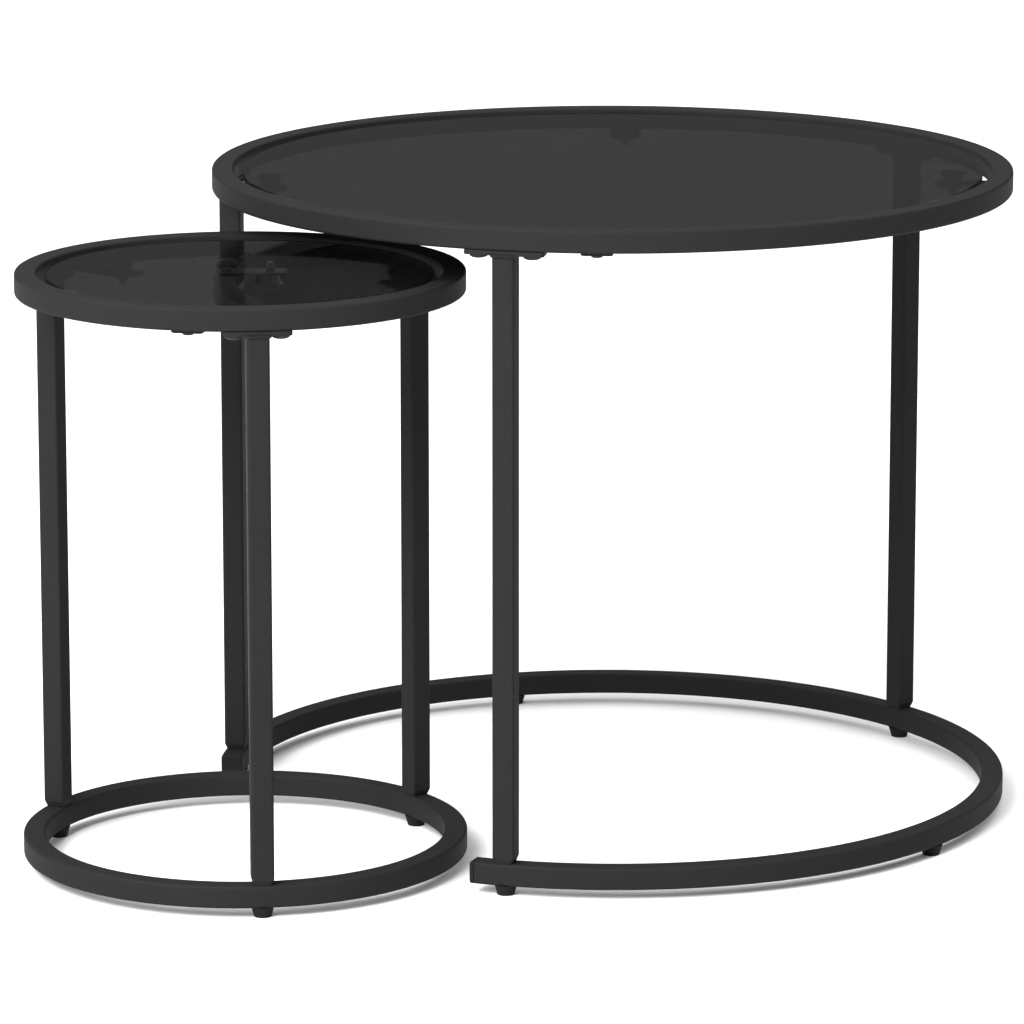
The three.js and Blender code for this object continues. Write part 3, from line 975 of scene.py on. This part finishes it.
class NESTING_OT_tab_screws(bpy.types.Operator):
    """Puts the screw in each glass tab"""

    bl_idname = "nesting_tables.tab_screws"
    bl_label = "Tab screws"

    def execute(self, context):
        tree = screw_tree()
        sizes = settings().small_parts
        for places in map(Places, TABLES):
            tab_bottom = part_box(places.nodes("tab_1")[0])[0].z
            start, nodes = seats(places, "tab_screw_", tab_bottom)
            low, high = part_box(nodes[0])
            grow(places, "tab_screws", tree, start, {
                "Head Radius": half_width(nodes[0]), "Head Height": tab_bottom - low.z,
                "Shank Radius": sizes.screw_shank, "Shank Length": high.z - tab_bottom,
                "Arm": sizes.cross_arm, "Slot": sizes.cross_slot,
            }, "bolt_black", nodes)
        return {"FINISHED"}


# ---- Glass, tabs and pads


class NESTING_OT_glass_tops(bpy.types.Operator):
    """Lays the glass in both tops"""

    bl_idname = "nesting_tables.glass_tops"
    bl_label = "Glass tops"

    def execute(self, context):
        for places in map(Places, TABLES):
            name = f"{places.body}_glass"
            shape = bmesh.new()
            add_loft(shape, self.sections(places), Matrix.Translation(places.centre))
            piece = new_piece(name, tidied(meshed(name, shape, "smoked_glass")))
            finished(piece, places.body, places.nodes("glass_top"))
        return {"FINISHED"}

    @staticmethod
    def sections(places):
        """Circles up the polished edge: eased, upright, eased."""
        rows = []
        for height, out in ((places.glass_bottom, -1), (places.glass_top, 1)):
            arc = []
            for step in range(GLASS_EDGE_STEPS + 1):
                angle = TURN / 4 * step / GLASS_EDGE_STEPS
                radius = places.glass_radius - GLASS_EDGE * (1 - math.cos(angle))
                level = height - out * GLASS_EDGE * (1 - math.sin(angle))
                arc.append((circle(radius, GLASS_SIDES), level))
            rows += arc if out > 0 else arc[::-1]
        return rows


class NESTING_OT_tabs(bpy.types.Operator):
    """Makes the flat tabs that carry the glass"""

    bl_idname = "nesting_tables.tabs"
    bl_label = "Glass tabs"

    def execute(self, context):
        sizes = settings().small_parts
        for places in map(Places, TABLES):
            nodes = [node for node in places.nodes("tab_") if "screw" not in node]
            name = f"{places.body}_glass_tabs"
            shape = bmesh.new()
            for node in nodes:
                angle = places.angle_to(node.replace("_tab_", "_glass_pad_"))
                low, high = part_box(node)
                inner, outer = self.reach(places, node, angle)
                outline = rounded(outer - inner, sizes.tab_width, sizes.tab_corner, CORNER_STEPS)
                eased = [(x * (1 - EASE / (outer - inner) * 2), y * (1 - EASE / sizes.tab_width * 2))
                         for x, y in outline]
                add_loft(shape, [
                    (eased, low.z), (outline, low.z + EASE), (outline, high.z - EASE), (eased, high.z),
                ], places.out_at(angle, (inner + outer) / 2))
            piece = new_piece(name, tidied(meshed(name, shape, "frame_coat")))
            finished(piece, places.body, nodes)
        return {"FINISHED"}

    @staticmethod
    def reach(places, node, angle):
        """The nearest and farthest of a tab's points along its own radius."""
        along = Vector((math.cos(angle), math.sin(angle), 0))
        mesh = frame["nodes"][node].data
        distances = [(point.co - places.centre).dot(along) for point in mesh.vertices]
        return min(distances), max(distances)


def pad_tree():
    """Rubber pads on the tabs: a waisted disc, a stem and a barbed tail."""
    tree = ShapeTree("glass_pads", ["Pad Radius", "Pad Height", "Tab", "Tail Length"])
    radius, height, tab, tail = tree.given_lengths()
    under = 0 - height - tab
    profile = [
        (0, under - tail, 0),
        *((radius * across, under - tail * down, 0) for across, down in PAD_TAIL),
        (radius * 0.36, under, 0), (radius * 0.3, under, 0),
        *((radius * across, height * -down, 0) for across, down in PAD_BODY),
        (0, 0, 0)]
    return tree.finish(tree.copied(tree.turned(profile, PAD_SIDES)))


class NESTING_OT_glass_pads(bpy.types.Operator):
    """Pushes a rubber pad into each tab"""

    bl_idname = "nesting_tables.glass_pads"
    bl_label = "Glass pads"

    def execute(self, context):
        tree = pad_tree()
        for places in map(Places, TABLES):
            tab_low, tab_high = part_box(places.nodes("tab_1")[0])
            start, nodes = seats(places, "glass_pad_", places.glass_bottom)
            grow(places, "glass_pads", tree, start, {
                "Pad Radius": half_width(nodes[0]), "Pad Height": places.glass_bottom - tab_high.z,
                "Tab": tab_high.z - tab_low.z, "Tail Length": tab_low.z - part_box(nodes[0])[0].z,
            }, "pad_rubber", nodes)
        return {"FINISHED"}


# ---- Feet and end caps


def foot_tree():
    """Tapered feet with a round sole edge and their studs."""
    tree = ShapeTree("feet", ["Foot Radius", "Foot Height", "Stud Radius", "Stud Length"])
    radius, height, stud, length = tree.given_lengths()
    profile = [(0, 0 - height, 0)]
    profile += [(radius * across, height * -down, 0) for across, down in FOOT_BODY]
    profile += shank_profile(stud, length, BOLT_CHAMFER)
    return tree.finish(tree.copied(tree.turned(profile, FOOT_SIDES)))


class NESTING_OT_feet(bpy.types.Operator):
    """Screws the feet under the base rings"""

    bl_idname = "nesting_tables.feet"
    bl_label = "Feet"

    def execute(self, context):
        tree = foot_tree()
        sizes = settings().small_parts
        for places in map(Places, TABLES):
            start, nodes = seats(places, "foot_", places.base_bottom)
            shortest = min(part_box(node)[1].z for node in nodes)
            grow(places, "feet", tree, start, {
                "Foot Radius": half_width(nodes[0]), "Foot Height": places.base_bottom,
                "Stud Radius": sizes.bolt_shank, "Stud Length": shortest - places.base_bottom,
            }, "glide_plastic", nodes)
        return {"FINISHED"}


class NESTING_OT_end_caps(bpy.types.Operator):
    """Plugs the two cut ends of the open base ring"""

    bl_idname = "nesting_tables.end_caps"
    bl_label = "End caps"

    def execute(self, context):
        for places in map(Places, TABLES):
            mouth = places.mouth()
            if mouth is None:
                continue
            middle, half = mouth
            for side, sign in (("left", -1), ("right", 1)):
                name = f"{places.body}_end_cap_{side}"
                shape = bmesh.new()
                add_loft(shape, self.sections(places), self.stand(places, middle + sign * half, sign))
                piece = new_piece(name, tidied(meshed(name, shape, "glide_plastic")))
                finished(piece, places.body, places.nodes(f"end_cap_{side}"))
        return {"FINISHED"}

    @staticmethod
    def stand(places, angle, sign):
        """Turns +Z of the cap out of the cut end at an angle, towards the mouth's middle."""
        lift = Matrix.Translation((0, 0, places.base_bottom + places.tube / 2))
        return places.out_at(angle, places.middle) @ lift @ Matrix.Rotation(sign * TURN / 4, 4, "X")

    @staticmethod
    def sections(places):
        """The plug in the tube, then the face with its round edge."""
        tube = settings().tube
        inside = places.tube - 2 * tube.wall - 2 * CAP_SLACK
        narrow = inside - CAP_LEAD
        plug = rounded(inside, inside, CAP_CORNER, tube.corner_steps)
        lead = rounded(narrow, narrow, CAP_CORNER, tube.corner_steps)
        face = tube_outline(places.tube)
        rows = [(lead, -CAP_PLUG), (plug, CAP_LEAD - CAP_PLUG), (plug, CAP_GAP),
                (face, CAP_GAP), (face, CAP_GAP + CAP_FACE)]
        for step in range(1, CAP_ROUND_STEPS + 1):
            angle = TURN / 4 * step / CAP_ROUND_STEPS
            outline = tube_outline(places.tube - 2 * CAP_ROUND * (1 - math.cos(angle)))
            rows.append((outline, CAP_GAP + CAP_FACE + CAP_ROUND * math.sin(angle)))
        return rows


# ---- Stage


def add_light(name, size, power, place, aim):
    """A soft square light that points at its aim."""
    data = bpy.data.lights.new(name, "AREA")
    data.size = size
    data.energy = power
    light = bpy.data.objects.new(name, data)
    light.location = place
    light.rotation_euler = (Vector(aim) - Vector(place)).to_track_quat("-Z", "Y").to_euler()
    bpy.context.scene.collection.objects.link(light)


def add_sky():
    """Soft light from above that fades to a dim horizon."""
    world = bpy.data.worlds.new("studio")
    world.use_nodes = True
    graph = Graph(world.node_tree)
    direction = graph.add("ShaderNodeTexCoord", output="Generated")
    up = graph.add("ShaderNodeSeparateXYZ", inputs={"Vector": direction}).output("Z")
    grey = graph.add("ShaderNodeValToRGB", {"stops": SKY_STOPS}, {"Fac": up})
    background = world.node_tree.nodes["Background"]
    graph.tree.links.new(grey.socket, background.inputs["Color"])
    background.inputs["Strength"].default_value = SKY_STRENGTH
    bpy.context.scene.world = world


class NESTING_OT_stage(bpy.types.Operator):
    """Lays the floor and sets the light and the camera"""

    bl_idname = "nesting_tables.stage"
    bl_label = "Stage"

    def execute(self, context):
        stage = settings().stage
        scene = context.scene
        scene.view_settings.view_transform = "Standard"
        shape = bmesh.new()
        bmesh.ops.create_circle(shape, cap_ends=True, radius=stage.floor, segments=FLOOR_SIDES)
        new_piece("floor", meshed("floor", shape, "floor"))
        add_sky()
        add_light("key", LAMP_SIZE, LAMP_POWER, LAMP_PLACE, LAMP_AIM)
        camera = bpy.data.objects.new("camera", bpy.data.cameras.new("camera"))
        camera.data.lens = stage.lens
        camera.location = stage.camera_place
        camera.rotation_euler = (math.pi / 2 - stage.camera_down, 0, stage.camera_turn)
        scene.collection.objects.link(camera)
        scene.camera = camera
        return {"FINISHED"}


# ---- Panel and registration


PIECE_OPERATORS = (
    NESTING_OT_rings, NESTING_OT_legs, NESTING_OT_leg_bolts, NESTING_OT_feet,
    NESTING_OT_end_caps, NESTING_OT_tabs, NESTING_OT_tab_screws, NESTING_OT_glass_pads,
    NESTING_OT_glass_tops, NESTING_OT_stage,
)


class NESTING_PT_panel(bpy.types.Panel):
    """Lists the pieces and their settings"""

    bl_label = "Nesting tables"
    bl_idname = "NESTING_PT_panel"
    bl_space_type = "VIEW_3D"
    bl_region_type = "UI"
    bl_category = "Nesting tables"

    def draw(self, context):
        for operator in PIECE_OPERATORS:
            self.layout.operator(operator.bl_idname)
        for group in (settings().tube, settings().small_parts, settings().finishes, settings().stage):
            box = self.layout.box()
            for label in group.bl_rna.properties.keys():
                if label not in ("rna_type", "name"):
                    box.prop(group, label)


CLASSES = (
    TubeSettings, SmallPartSettings, FinishSettings, StageSettings, NestingSettings,
    *PIECE_OPERATORS, NESTING_PT_panel,
)


def register():
    for item in CLASSES:
        bpy.utils.register_class(item)
    bpy.types.Scene.nesting_tables = bpy.props.PointerProperty(type=NestingSettings)


def unregister():
    del bpy.types.Scene.nesting_tables
    for item in reversed(CLASSES):
        bpy.utils.unregister_class(item)


def main():
    register()
    for operator in PIECE_OPERATORS:
        group, name = operator.bl_idname.split(".")
        getattr(getattr(bpy.ops, group), name)()


if __name__ == "__main__":
    main()
